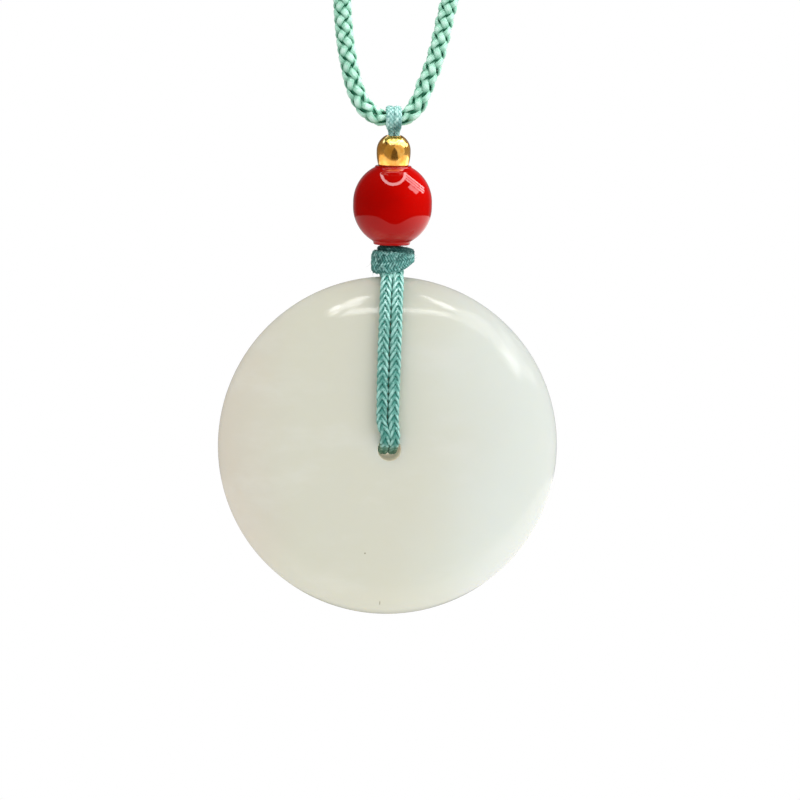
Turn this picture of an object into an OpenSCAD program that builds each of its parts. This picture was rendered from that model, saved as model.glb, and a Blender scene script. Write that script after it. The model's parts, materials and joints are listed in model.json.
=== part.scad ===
// A round jade disc that hangs from a braided neck cord, under a red bead, a gold bead and a knot in thin cord.
// +Z is up and the front faces -Y. The origin is on the underside of the wrap at the nape, which the neck carries.

/* [Disc] */
// Diameter of the disc
disc_d = 44; // [38:0.5:52]
// Thickness of the disc at its middle
disc_t = 10; // [8:0.1:12]
// How flat the faces stay before they turn over at the rim
face_power = 3.4; // [3:0.1:6]
// How full the rounded rim is
rim_power = 2; // [1.9:0.1:2.8]
// Spare width in the hole beside the two turns of thin cord
hole_play = 0.25; // [0.25:0.05:0.8]
// Radius of the rounded lip at each end of the hole
lip_r = 0.2; // [0.1:0.05:0.4]

/* [Thin cord] */
// Diameter of the thin cord where it lies on the disc
thin_d = 1.35; // [1.1:0.05:1.5]
// Width that a turn of thin cord is flattened to over the neck cord
flat_w = 1.15; // [1:0.05:1.25]
// Thickness that a turn of thin cord is flattened to over the neck cord
flat_t = 0.7; // [0.5:0.05:0.9]
// Diameter of the squeezed bundle of thin cord inside the beads
core_d = 1.8; // [1.6:0.05:2]
// Height of the thin cord between the middle of the neck cord and the gold bead
bail_h = 2.2; // [2:0.05:2.8]

/* [Knot] */
// Width of the knot
knot_w = 5.7; // [5:0.1:7]
// Depth of the knot from front to back
knot_depth = 4.6; // [4.2:0.1:5.4]
// Height of the knot
knot_h = 3.9; // [3.5:0.1:4.6]
// Radius of the knot's rounded corners
knot_round = 0.65; // [0.5:0.05:0.8]
// How far the knot stands over to the right of the beads
knot_shift = 0.2; // [0:0.05:0.4]

/* [Beads] */
// Diameter of the gold bead
gold_d = 4.4; // [4:0.1:5]
// Height of the gold bead
gold_h = 3.95; // [3.8:0.05:4.4]
// Radius of the gold bead's lower corner
gold_foot_r = 0.5; // [0.3:0.05:0.7]
// Diameter of the red bead
red_d = 10.2; // [9.4:0.1:11]
// Height of the red bead from end to end
red_h = 10.2; // [9.4:0.1:12]
// Height of the straight band round the middle of the red bead
red_band_h = 0.8; // [0:0.1:1]
// Diameter of the short collar at each end of the red bead
red_collar_d = 4.7; // [4.2:0.1:5.2]

/* [Neck cord] */
// Height of the loop of neck cord above the loop of thin cord
neck_drop = 290; // [240:5:340]
// Diameter of the braided neck cord
neck_cord_d = 2.4; // [2.2:0.1:2.8]
// Share of its diameter that the neck cord keeps where the thin cord grips it
pinch = 0.72; // [0.65:0.01:0.85]
// Length of the wrap that joins the ends of the neck cord
wrap_l = 16; // [10:1:24]
// Wall of that wrap
wrap_t = 0.8; // [0.5:0.1:1.2]

/* [Clearances] */
// Gap between the thin cord and each face of the disc
face_gap = 0.1; // [0.05:0.05:0.3]
// Gap between the two turns of thin cord in the hole
turn_gap = 0.05; // [0.02:0.01:0.1]
// Gap between the top of the hole and the thin cord that carries the disc
hang_gap = 0.05; // [0.02:0.01:0.1]
// Gap between the knot and the rim of the disc
rim_gap = 0.25; // [0.2:0.05:0.6]
// Gap round the neck cord inside the loop of thin cord
bail_gap = 0.1; // [0.08:0.01:0.15]
// Gap between a cord and the piece that it passes into
bore_gap = 0.05; // [0.03:0.01:0.08]
// Gap between two pieces that rest on each other
seat_gap = 0.02; // [0.01:0.01:0.05]

/* [Hidden] */
$fn = 64;
cord_sides = 8;
knot_fn = 24;
X = [1, 0, 0];
Y = [0, 1, 0];

// Route of the neck cord from the nape round to the nape again: x, height above the loop of thin cord,
// and the number of rings up to the next point. Above bend_top the heights stretch with neck_drop
neck_route = [
    [-0.1, 290, 2], [-12, 288.8, 2], [-28, 283, 2], [-42, 272, 2], [-52, 257, 2], [-57, 238, 2],
    [-55.5, 218, 2], [-50, 196, 3], [-43, 168, 4], [-31, 120, 4], [-19, 72, 3], [-11.4, 40, 2],
    [-8.2, 24, 1], [-7.1, 16, 1], [-6.9, 13, 1], [-6.55, 10, 1], [-6, 7, 1], [-5.3, 4.2, 1],
    [-4.6, 2.5, 1], [-3.4, 0.95, 1], [-1.8, 0.05, 2], [0, 0, 2], [1.3, 0.05, 1], [2.3, 0.9, 1],
    [3.2, 2.3, 1], [3.8, 4, 1], [4.9, 7, 1], [5.7, 10, 1], [6.3, 13, 1], [7, 16, 1],
    [9, 24, 2], [13, 40, 3], [20.8, 72, 4], [32.2, 120, 4], [43.6, 168, 3], [50, 196, 2],
    [55.5, 218, 2], [57, 238, 2], [52, 257, 2], [42, 272, 2], [28, 283, 2], [12, 288.8, 2],
    [0.1, 290, 0]];
bend_top = 40;
// Length of neck cord beside the thin cord over which it widens again
pinch_run = 1.4;

neck_r = neck_cord_d / 2;
wrap_r = neck_r + bore_gap + wrap_t;
bail_z = wrap_r - neck_drop;
gold_top = bail_z - bail_h;
gold_bottom = gold_top - gold_h;
red_top = gold_bottom - seat_gap;
red_mid = red_top - red_h / 2;
knot_top = red_top - red_h - seat_gap;
knot_bottom = knot_top - knot_h;
disc_z = knot_bottom - rim_gap - disc_d / 2;
bore_r = core_d / 2 + bore_gap;
core_depth = knot_h / 3;

// The hole takes two turns of thin cord side by side, which lie at its top
strand_x = (thin_d + turn_gap) / 2;
hole_r = strand_x + thin_d / 2 + hole_play / 2;
strand_rise = sqrt(pow(hole_r - hang_gap - thin_d / 2, 2) - strand_x * strand_x);
bend_r = thin_d;
leg_y = disc_t / 2 + face_gap + thin_d / 2;

// Height of each point of a leg on the disc as a share of its radius, and where the left and
// right turns then stand, as shares of their place in the hole
leg_rows = [
    [0.985, -0.42, 1.6], [0.965, -0.5, 1.52], [0.93, -0.6, 1.42], [0.88, -0.68, 1.34],
    [0.81, -0.78, 1.24], [0.7, -0.92, 1.12], [0.55, -1.06, 1.05], [0.4, -1.1, 1], [0.25, -1.08, 0.96],
    [0.15, -1.04, 0.96]];
// Where a leg ends inside the knot: shares of the knot's half depth and of its height
leg_end = [0.32, 0.36];
bend_steps = [0, 30, 60, 90];

// Corners of the knot as shares of half its size: x, y, z
knot_corners = [
    [-1, -1, 0.4], [-1, -1, -1], [0.2, -1, -1], [0.8, -1, -0.1], [0.7, -1, 0.3],
    [-0.8, 1, 1], [-0.9, 1, -0.3], [0.3, 1, -0.8], [1, 1, 0.15], [0.8, 1, 0.6], [0.5, 1, 1]];

function unit(v) = v / norm(v);

// Direction of a path at one of its points, which is exact for points on a circle
function heading(p, i) =
    i == 0 ? unit(p[1] - p[0]) :
    i == len(p) - 1 ? unit(p[i] - p[i - 1]) :
    let (a = p[i] - p[i - 1], b = p[i + 1] - p[i]) unit(a / (a * a) + b / (b * b));

// Point at a share t of the way from point i to the next
function between(p, i, t) =
    let (l = norm(p[i + 1] - p[i]), m = heading(p, i) * l, n = heading(p, i + 1) * l)
    (2 * t * t * t - 3 * t * t + 1) * p[i] + (t * t * t - 2 * t * t + t) * m
    + (3 * t * t - 2 * t * t * t) * p[i + 1] + (t * t * t - t * t) * n;

function smooth(p, steps) = [
    for (i = [0 : len(p) - 2], k = [0 : steps[i] - 1]) between(p, i, k / steps[i]),
    p[len(p) - 1]];

// Half the disc's thickness at a share of its radius
function half_t(share) = disc_t / 2 * pow(1 - pow(share, face_power), 1 / rim_power);

// Way out of the disc's surface there, as [outwards from the axis, away from the middle plane]
function way_out(share) = unit([
    face_power / (disc_d / 2) * pow(share, face_power - 1),
    rim_power / (disc_t / 2) * pow(half_t(share) / (disc_t / 2), rim_power - 1)]);

// One leg from the knot down the front of the disc to the middle of the hole
function front_leg(column) = concat(
    [[strand_x * leg_rows[0][column], -leg_end[0] * knot_depth / 2, knot_bottom + leg_end[1] * knot_h]],
    [for (row = leg_rows)
        let (n = way_out(row[0]) * (face_gap + thin_d / 2))
        [strand_x * row[column], -half_t(row[0]) - n[1], disc_z + row[0] * disc_d / 2 + n[0]]],
    [for (a = bend_steps) [
        strand_x * sign(leg_rows[0][column]),
        bend_r - leg_y - bend_r * cos(a),
        disc_z + strand_rise + bend_r * (1 - sin(a))]]);

function turn(column) =
    let (front = front_leg(column), last = len(front) - 1)
    concat(front, [for (i = [last : -1 : 0]) [front[i][0], -front[i][1], front[i][2]]]);

// A solid swept along a path: half_a is its half width along the side direction at each point,
// half_b its half width across it
module sweep(path, side, half_a, half_b, sides = cord_sides) {
    last = len(path) - 1;
    rings = [for (i = [0 : last])
        let (d = heading(path, i), u = unit(side - (side * d) * d), v = cross(d, u))
        for (k = [0 : sides - 1])
            let (w = 360 * (k + 0.5) / sides)
            path[i] + half_a[i] * cos(w) * u + half_b[i] * sin(w) * v];
    walls = [for (i = [0 : last - 1], k = [0 : sides - 1])
        let (a = i * sides + k, b = i * sides + (k + 1) % sides)
        each [[a, a + sides, b + sides], [a, b + sides, b]]];
    ends = [
        [for (k = [0 : sides - 1]) k],
        [for (k = [sides - 1 : -1 : 0]) last * sides + k]];
    polyhedron(rings, concat(walls, ends));
}

module tube(path, side, r, sides = cord_sides) {
    radii = [for (p = path) r];
    sweep(path, side, radii, radii, sides);
}

function neck_height(h) =
    h < bend_top ? h : bend_top + (h - bend_top) * (neck_drop - bend_top) / (neck_route[0][1] - bend_top);

function neck_path() = smooth(
    [for (row = neck_route) [row[0], 0, bail_z + neck_height(row[1])]],
    [for (row = neck_route) row[2]]);

// Narrows the neck cord under the thin cord
function neck_radius(p) =
    let (clear = (norm(p - [0, 0, bail_z]) - flat_w - 2 * turn_gap) / pinch_run)
    neck_r * (1 - (1 - pinch) * (1 + cos(180 * min(1, max(0, clear)))) / 2);

module disc() {
    steps = 20;
    turn_end = acos(pow((hole_r + lip_r) / (disc_d / 2), face_power / 2));
    face = [for (k = [0 : steps])
        let (a = turn_end * k / steps)
        [disc_d / 2 * pow(cos(a), 2 / face_power), disc_t / 2 * pow(sin(a), 2 / rim_power)]];
    lip_y = face[steps][1] - lip_r;
    lip = [for (a = [30 : 30 : 90]) [hole_r + lip_r * (1 - sin(a)), lip_y + lip_r * cos(a)]];
    upper = concat(face, lip);
    lower = [for (i = [len(upper) - 1 : -1 : 1]) [upper[i][0], -upper[i][1]]];
    color("honeydew")
        translate([0, 0, disc_z])
            rotate([90, 0, 0])
                rotate_extrude($fn = 128) polygon(concat(upper, lower));
}

module loop_left() {
    color("mediumaquamarine") tube(turn(1), X, thin_d / 2);
}

module loop_right() {
    color("mediumaquamarine") tube(turn(2), X, thin_d / 2);
}

module knot() {
    size = [knot_w, knot_depth, knot_h] / 2 - [1, 1, 1] * knot_round;
    color("cadetblue") difference() {
        hull()
            for (c = knot_corners)
                translate([knot_shift + c[0] * size[0], c[1] * size[1], knot_top - knot_h / 2 + c[2] * size[2]])
                    sphere(knot_round, $fn = knot_fn);
        tube(turn(1), X, thin_d / 2 + bore_gap);
        tube(turn(2), X, thin_d / 2 + bore_gap);
        translate([0, 0, knot_top - core_depth - bore_gap]) cylinder(knot_h, r = bore_r, $fn = knot_fn);
    }
}

module red_bead() {
    color("firebrick")
        translate([0, 0, red_mid])
            rotate_extrude() difference() {
                intersection() {
                    union() {
                        for (s = [-1, 1])
                            translate([0, s * red_band_h / 2]) circle(d = red_d);
                        translate([0, -red_band_h / 2]) square([red_d / 2, red_band_h]);
                        square([red_collar_d, red_h], center = true);
                    }
                    translate([0, -red_h / 2]) square([red_d / 2, red_h]);
                }
                translate([0, -red_h]) square([bore_r, 2 * red_h]);
            }
}

module gold_bead() {
    dome_h = sqrt(pow(gold_d / 2, 2) - bore_r * bore_r);
    foot_h = gold_h - dome_h;
    color("gold")
        translate([0, 0, gold_top - dome_h])
            rotate_extrude() difference() {
                union() {
                    intersection() {
                        circle(d = gold_d);
                        square([gold_d / 2, dome_h]);
                    }
                    translate([0, gold_foot_r - foot_h]) square([gold_d / 2, foot_h - gold_foot_r]);
                    translate([0, -foot_h]) square([gold_d / 2 - gold_foot_r, foot_h]);
                    translate([gold_d / 2 - gold_foot_r, gold_foot_r - foot_h]) circle(gold_foot_r);
                }
                translate([0, -gold_h]) square([bore_r, 2 * gold_h]);
            }
}

// Two turns side by side over the neck cord, whose four round ends are packed into one core
module top_loop() {
    arch_r = neck_r * pinch + bail_gap + flat_t / 2;
    end_r = core_d / 2 / (1 + sqrt(2));
    end_z = [gold_top - core_d / 2, gold_top + flat_t / 2];
    for (s = [-1, 1]) {
        path = concat(
            [for (z = end_z) [s * end_r, -end_r, z]],
            [for (a = [-15 : 15 : 195])
                [s * (flat_w + turn_gap) / 2, -arch_r * cos(a), bail_z + arch_r * sin(a)]],
            [for (z = [end_z[1], end_z[0]]) [s * end_r, end_r, z]]);
        last = len(path) - 1;
        inside = [for (i = [0 : last]) i < len(end_z) || i > last - len(end_z)];
        color("paleturquoise") sweep(path, X,
            [for (i = [0 : last]) inside[i] ? end_r : flat_w / 2],
            [for (i = [0 : last]) inside[i] ? end_r : flat_t / 2]);
    }
    color("paleturquoise")
        translate([0, 0, knot_top - core_depth])
            cylinder(gold_top - knot_top + core_depth, d = core_d);
}

module neck_cord() {
    path = neck_path();
    radii = [for (p = path) neck_radius(p)];
    color("aquamarine") sweep(path, Y, radii, radii);
}

module nape_wrap() {
    path = neck_path();
    count = len(path);
    reach = 5;
    nape = concat(
        [for (i = [count - reach : count - 2]) path[i]],
        [[0, 0, bail_z + neck_drop]],
        [for (i = [1 : reach - 1]) path[i]]);
    color("aquamarine") intersection() {
        difference() {
            tube(nape, Y, wrap_r, 2 * cord_sides);
            tube(nape, Y, neck_r + bore_gap, 2 * cord_sides);
        }
        translate([-wrap_l / 2, -wrap_r, -wrap_r]) cube([wrap_l, 2 * wrap_r, 4 * wrap_r]);
    }
}

disc();
loop_left();
loop_right();
knot();
red_bead();
gold_bead();
top_loop();
neck_cord();
nape_wrap();
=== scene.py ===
import json
import math

import bpy
import numpy as np
from mathutils import Matrix, Vector


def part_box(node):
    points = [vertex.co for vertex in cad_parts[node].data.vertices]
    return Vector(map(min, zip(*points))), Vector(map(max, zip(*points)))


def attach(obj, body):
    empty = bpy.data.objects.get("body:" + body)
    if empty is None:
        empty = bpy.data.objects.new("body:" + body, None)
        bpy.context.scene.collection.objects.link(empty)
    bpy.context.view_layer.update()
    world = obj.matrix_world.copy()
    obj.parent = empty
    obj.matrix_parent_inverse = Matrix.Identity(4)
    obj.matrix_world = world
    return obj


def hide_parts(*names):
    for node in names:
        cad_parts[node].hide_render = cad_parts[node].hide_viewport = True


# A jade disc pendant on a braided neck cord. Everything is in metres, +Z is up, the front faces -Y
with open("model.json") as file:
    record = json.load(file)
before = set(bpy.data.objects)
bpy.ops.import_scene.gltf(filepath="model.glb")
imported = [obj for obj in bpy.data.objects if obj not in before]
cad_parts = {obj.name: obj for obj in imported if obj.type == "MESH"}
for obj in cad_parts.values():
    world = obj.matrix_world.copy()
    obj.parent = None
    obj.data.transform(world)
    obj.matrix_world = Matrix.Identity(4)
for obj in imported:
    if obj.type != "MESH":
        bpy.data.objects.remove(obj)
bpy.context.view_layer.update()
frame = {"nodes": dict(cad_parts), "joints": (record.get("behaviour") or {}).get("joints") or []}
mm = 0.001
joints = {joint["name"]: np.array(joint["pos_m"], float) for joint in frame["joints"]}
bailAt = joints["pendant_swing"]  # middle of the neck cord where the pendant hangs
discAt = joints["disc_spin"]      # middle of the disc
xWay = np.array((1.0, 0.0, 0.0))
frontWay = np.array((0.0, -1.0, 0.0))
print("frame loaded:", len(frame["nodes"]), "nodes")


# Camera
view = {
    "turn": -3.0,           # degrees round to the right of straight on
    "height": 6.0,          # degrees above
    "roll": 1.2,            # degrees that its right side is tipped up
    "distance": 1.2,
    "frameWidth": 103.7 * mm,
    "aimRight": 1.5 * mm,   # where the picture's middle is, beside the pendant's axis
    "aimDown": 36.6 * mm,   # and below the loop of thin cord
}


def wayTo(turn, height):
    # A way out from the middle, in degrees round to the right of the front and degrees up
    turn, height = math.radians(turn), math.radians(height)
    return Vector((math.sin(turn) * math.cos(height), -math.cos(turn) * math.cos(height), math.sin(height)))


def cameraAxes(look):
    roll = math.radians(look["roll"])
    back = wayTo(look["turn"], look["height"])
    right = back.cross(Vector((0, 0, -1))).normalized()
    up = back.cross(right)
    return (right * math.cos(roll) + up * math.sin(roll),
            up * math.cos(roll) - right * math.sin(roll), back)


def placeCamera(look):
    right, up, back = cameraAxes(look)
    data = bpy.data.cameras.new("camera")
    data.lens = data.sensor_width * look["distance"] / look["frameWidth"]
    data.clip_end = 10
    camera = bpy.data.objects.new("camera", data)
    bpy.context.scene.collection.objects.link(camera)
    aim = Vector(bailAt) + Vector((look["aimRight"], 0, -look["aimDown"]))
    turned = Matrix((right, up, back)).transposed().to_4x4()
    camera.matrix_world = Matrix.Translation(aim + back * look["distance"]) @ turned
    bpy.context.scene.camera = camera


placeCamera(view)
print("camera placed")


# Lines, sweeps and meshes
def unit(rows):
    return rows / np.linalg.norm(rows, axis=-1, keepdims=True)


def headings(line):
    steps = np.diff(line, axis=0)
    scaled = steps / np.sum(steps * steps, axis=1, keepdims=True)
    return unit(np.vstack([steps[:1], scaled[:-1] + scaled[1:], steps[-1:]]))


def smoothLine(points, perSpan):
    points = np.asarray(points, float)
    ways = headings(points)
    line = []
    for i in range(len(points) - 1):
        a, b = points[i], points[i + 1]
        reach = np.linalg.norm(b - a)
        for t in np.arange(perSpan) / perSpan:
            line.append((2 * t ** 3 - 3 * t ** 2 + 1) * a + (t ** 3 - 2 * t ** 2 + t) * ways[i] * reach
                        + (3 * t ** 2 - 2 * t ** 3) * b + (t ** 3 - t ** 2) * ways[i + 1] * reach)
    line.append(points[-1])
    return np.array(line)


class Route:
    # A line with its distance along, and the two ways across it. wayA follows the given side
    def __init__(self, line, side):
        self.line = np.asarray(line, float)
        self.along = np.append(0, np.cumsum(np.linalg.norm(np.diff(self.line, axis=0), axis=1)))
        self.length = self.along[-1]
        ways = headings(self.line)
        side = np.broadcast_to(side, self.line.shape)
        self.wayA = unit(side - np.sum(side * ways, axis=1, keepdims=True) * ways)
        self.wayB = np.cross(ways, self.wayA)

    def at(self, rows, distance):
        return np.stack([np.interp(distance, self.along, rows[:, i]) for i in range(3)], axis=-1)

    def lay(self, local, wideA=1.0, wideB=1.0, power=2.0):
        # Lays points given as (across A, across B, along) on the route. A power over 2 squares the section
        x, y = local[..., 0], local[..., 1]
        reach = np.maximum(np.hypot(x, y), 1e-9)
        squared = (np.abs(x / reach) ** power + np.abs(y / reach) ** power) ** (-1 / power)
        along = np.clip(local[..., 2], 0, self.length)
        a = self.at(self.wayA, along) * (x * squared * wideA)[..., None]
        b = self.at(self.wayB, along) * (y * squared * wideB)[..., None]
        return self.at(self.line, along) + a + b


def tubeRings(centres, outward, halfWide, halfDeep, sides):
    # Rings of an oval strand whose flat side faces outward
    ways = headings(centres)
    out = unit(outward - np.sum(outward * ways, axis=1, keepdims=True) * ways)
    flat = np.cross(out, ways)
    turn = 2 * math.pi * (np.arange(sides) + 0.5) / sides
    wide = np.broadcast_to(halfWide, len(centres))[:, None, None]
    deep = np.broadcast_to(halfDeep, len(centres))[:, None, None]
    return (centres[:, None, :] + flat[:, None, :] * wide * np.cos(turn)[None, :, None]
            + out[:, None, :] * deep * np.sin(turn)[None, :, None])


def strandMesh(strands):
    # One mesh from several strands, each (rings, distance along, crown): arrays of rings x sides
    points, faces, across, crowns = [], [], [], []
    for rings, along, crown in strands:
        count, sides = rings.shape[:2]
        first = sum(len(p) for p in points)
        points.append(rings.reshape(-1, 3))
        crowns.append(crown.reshape(-1))
        for i in range(count - 1):
            for k in range(sides):
                n = (k + 1) % sides
                row = first + i * sides
                faces.append((row + k, row + n, row + sides + n, row + sides + k))
                u0, u1 = k / sides, (k + 1) / sides
                across.extend(((u0, along[i]), (u1, along[i]), (u1, along[i + 1]), (u0, along[i + 1])))
        for row, order in ((0, -1), (count - 1, 1)):
            faces.append(tuple(first + row * sides + k for k in range(sides))[::order])
            across.extend([(0.5, along[row])] * sides)
    return np.vstack(points), faces, np.array(across, np.float32), np.concatenate(crowns)


def makeMesh(name, points, faces, across=None, crown=None):
    mesh = bpy.data.meshes.new(name)
    mesh.from_pydata(np.asarray(points, float).tolist(), [], faces)
    if across is not None:
        layer = mesh.uv_layers.new(name="strand")
        layer.data.foreach_set("uv", np.asarray(across, np.float32).ravel())
    if crown is not None:
        attribute = mesh.attributes.new("crown", "FLOAT", "POINT")
        attribute.data.foreach_set("value", np.asarray(crown, np.float32))
    mesh.polygons.foreach_set("use_smooth", [len(f) < 5 for f in faces])     # the ends of strands stay flat
    mesh.update()
    piece = bpy.data.objects.new(name, mesh)
    bpy.context.scene.collection.objects.link(piece)
    return piece


def turned(profile, segments):
    # A profile of (radius, height) turned round its axis: the two ways across, and the height
    around = 2 * math.pi * np.arange(segments) / segments
    one, other = (np.outer(share, profile[:, 0]) for share in (np.cos(around), np.sin(around)))
    return one, other, np.broadcast_to(profile[:, 1], one.shape)


def turnedFaces(segments, steps):
    # Faces of a closed ring whose section is a closed profile
    faces = []
    for i in range(segments):
        j = (i + 1) % segments
        for k in range(steps):
            n = (k + 1) % steps
            faces.append((i * steps + k, i * steps + n, j * steps + n, j * steps + k))
    return faces


def boxMiddle(node):
    return sum(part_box(node), Vector()) / 2


def dress(piece, material, body, node):
    piece.data.materials.append(material)
    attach(piece, body)
    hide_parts(node)


def valuesAt(value, along):
    # A value given as one number, or as a function of the distance along
    return np.broadcast_to(value(along) if callable(value) else value, len(along))


def braid(route, look, phase=None, scale=1.0, turn=0.0, wideA=1.0, wideB=1.0, power=2.0):
    # A round braid laid on a route, as a list of strands. Half of them turn one way and half the other. The
    # stitches stand in columns round the cord, some a little higher than others
    step = look["pitch"] / look["ringsPerTurn"]
    along = np.linspace(0, route.length, max(3, int(route.length / step)))
    angle = 2 * math.pi * along / look["pitch"] if phase is None else phase(along)
    size, twist, flatA, flatB = (valuesAt(value, along) for value in (scale, turn, wideA, wideB))
    twist = np.radians(twist)
    count, columns = look["strandsEachWay"], look["columns"]
    shift = 0 if columns == count else math.pi / 2 / count
    outer = look["middleR"] + look["swing"] + look["thick"] / 2
    draw = np.random.default_rng(look["seed"])
    marks = np.arange(int(route.length / look["unevenRun"]) + 2) * look["unevenRun"]
    halfWide, halfDeep = look["wide"] / 2 * size, look["thick"] / 2 * size
    strands = []
    for way in (-1, 1):
        for k in range(count):
            around = way * angle + 2 * math.pi * k / count
            wave = np.cos(columns * (around - shift))
            lift = wave * (1.5 - 0.5 * wave * wave)     # dwells on top and below
            around = around + way * look["ease"] * np.sin(columns * (around - shift)) + twist
            uneven = np.interp(along, marks, draw.uniform(-1, 1, len(marks)))
            r = (look["middleR"] - way * look["swing"] * lift + look["uneven"] * uneven) * size
            centres = np.stack([r * np.cos(around), r * np.sin(around), along], axis=1)
            outward = np.stack([np.cos(around), np.sin(around), np.zeros(len(along))], axis=1)
            rings = tubeRings(centres, outward, halfWide, halfDeep, look["sides"])
            crown = np.hypot(rings[..., 0], rings[..., 1]) / (outer * size[:, None])
            laid = route.lay(rings, flatA[:, None], flatB[:, None], power)
            strands.append((laid, along / mm, crown))
    return strands


def plainTube(route, radius, step, sides):
    along = np.linspace(0, route.length, int(route.length / step))
    turn = 2 * math.pi * np.arange(sides) / sides
    wide = radius(along)[:, None]
    local = np.stack([wide * np.cos(turn), wide * np.sin(turn), along[:, None] + 0 * turn], axis=-1)
    return route.lay(local), along / mm, np.zeros(local.shape[:2])


# Shader helpers
def freshMaterial(name):
    material = bpy.data.materials.new(name)
    material.use_nodes = True
    tree = material.node_tree
    return material, tree, tree.nodes["Principled BSDF"]


def addNode(tree, kind, **values):
    node = tree.nodes.new(kind)
    for name, value in values.items():
        setattr(node, name, value)
    return node


def plug(tree, socket, value):
    if isinstance(value, bpy.types.NodeSocket):
        tree.links.new(value, socket)
    elif value is not None:
        socket.default_value = value


def calc(tree, operation, *values, clamp=False):
    node = addNode(tree, "ShaderNodeMath", operation=operation, use_clamp=clamp)
    for socket, value in zip(node.inputs, values):
        plug(tree, socket, value)
    return node.outputs[0]


def vectorCalc(tree, operation, *values):
    node = addNode(tree, "ShaderNodeVectorMath", operation=operation)
    for socket, value in zip(node.inputs, values):
        plug(tree, socket, value)
    return node.outputs["Value" if operation in ("DOT_PRODUCT", "LENGTH") else "Vector"]


def rgb(colour):
    # A colour as it looks on screen, 0 to 255, for a shader's socket
    return tuple(((c / 255 + 0.055) / 1.055) ** 2.4 if c > 10 else c / 255 / 12.92 for c in colour) + (1.0,)


def blendColour(tree, share, first, second):
    node = addNode(tree, "ShaderNodeMix", data_type="RGBA")
    plug(tree, node.inputs[0], share)
    plug(tree, node.inputs[6], first)
    plug(tree, node.inputs[7], second)
    return node.outputs[2]


def span(tree, value, low, high, toLow=0.0, toHigh=1.0):
    # Smoothly takes a value from one span to another
    node = addNode(tree, "ShaderNodeMapRange", interpolation_type="SMOOTHSTEP")
    for socket, number in zip(node.inputs, (value, low, high, toLow, toHigh)):
        plug(tree, socket, number)
    return node.outputs[0]


def tint(tree, colour, target, value, low, high, most=1.0):
    # Takes a colour towards another where a value passes from low to high
    return blendColour(tree, span(tree, value, low, high, 0.0, most), colour, rgb(target))


def noise(tree, where, scale, detail=2.0, roughness=0.5, stretch=(1, 1, 1)):
    mapping = addNode(tree, "ShaderNodeMapping")
    plug(tree, mapping.inputs["Vector"], where)
    plug(tree, mapping.inputs["Scale"], stretch)
    node = addNode(tree, "ShaderNodeTexNoise")
    plug(tree, node.inputs["Vector"], mapping.outputs[0])
    plug(tree, node.inputs["Scale"], scale)
    plug(tree, node.inputs["Detail"], detail)
    plug(tree, node.inputs["Roughness"], roughness)
    return node.outputs[0]


def bump(tree, height, strength, distance, after=None):
    node = addNode(tree, "ShaderNodeBump")
    plug(tree, node.inputs["Strength"], strength)
    plug(tree, node.inputs["Distance"], distance)
    plug(tree, node.inputs["Height"], height)
    plug(tree, node.inputs["Normal"], after)
    return node.outputs[0]


# Finishes
def cordFinish(name, look):
    # Satin fibre: parallel filaments along each strand, with painted shade where a strand dives in and
    # painted highlights on its crowns
    material, tree, shader = freshMaterial(name)
    strand = addNode(tree, "ShaderNodeUVMap", uv_map="strand").outputs[0]
    place = addNode(tree, "ShaderNodeTexCoord").outputs["Object"]
    crown = addNode(tree, "ShaderNodeAttribute", attribute_name="crown").outputs["Fac"]
    filaments = noise(tree, strand, 1.0, 2.0, 0.6, (look["filaments"], look["along"], 1))
    patches = noise(tree, place, look["patchScale"])
    flecks = noise(tree, place, look["fleckScale"], 1.0)
    # Each tint: its colour, what it follows, from where to where, and how strong it gets. The light colour
    # gives a painted highlight on the crowns and painted sheen streaks along the filaments; the flecks are
    # partly uneven fibre and partly painted glints; the patches vary the tone at random
    tints = (("light", crown, look["high"] - 0.03, 1.0, "tips"),
             ("light", filaments, 0.35, 0.7, "streaks"),
             ("shadow", patches, 0.4, 0.75, "patches"),
             ("light", flecks, 0.5, 0.72, "flecks"))
    colour = rgb(look["colour"])
    for target, value, low, high, most in tints:
        colour = tint(tree, colour, look[target], value, low, high, look[most])
    # Painted shade: the colour turns to the shadow colour where a strand lies low, in the gaps between
    # strands
    colour = blendColour(tree, span(tree, crown, look["deep"], look["high"]), rgb(look["shadow"]), colour)
    plug(tree, shader.inputs["Base Color"], colour)
    satin = span(tree, filaments, 0.2, 0.8, look["gloss"], look["gloss"] + 0.15)
    plug(tree, shader.inputs["Roughness"], satin)
    plug(tree, shader.inputs["Normal"], bump(tree, filaments, look["relief"], 0.04 * mm))
    plug(tree, shader.inputs["Specular IOR Level"], look["shine"])
    plug(tree, shader.inputs["Sheen Weight"], look["sheen"])
    plug(tree, shader.inputs["Sheen Roughness"], 0.4)
    plug(tree, shader.inputs["Sheen Tint"], rgb(look["light"]))
    return material


def onFront(tree, place, disc, at, size):
    # A mask of a small oval on the front of the disc
    share = math.hypot(*at) / disc["radius"]
    middle = Vector(discAt) + Vector((at[0], -faceOut(disc, share), at[1]))
    mapping = addNode(tree, "ShaderNodeMapping", vector_type="TEXTURE")
    plug(tree, mapping.inputs["Vector"], place)
    plug(tree, mapping.inputs["Location"], tuple(middle))
    plug(tree, mapping.inputs["Scale"], (size[0], disc["flawDeep"], size[1]))
    return span(tree, vectorCalc(tree, "LENGTH", mapping.outputs[0]), 1.0, 0.5)


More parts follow.
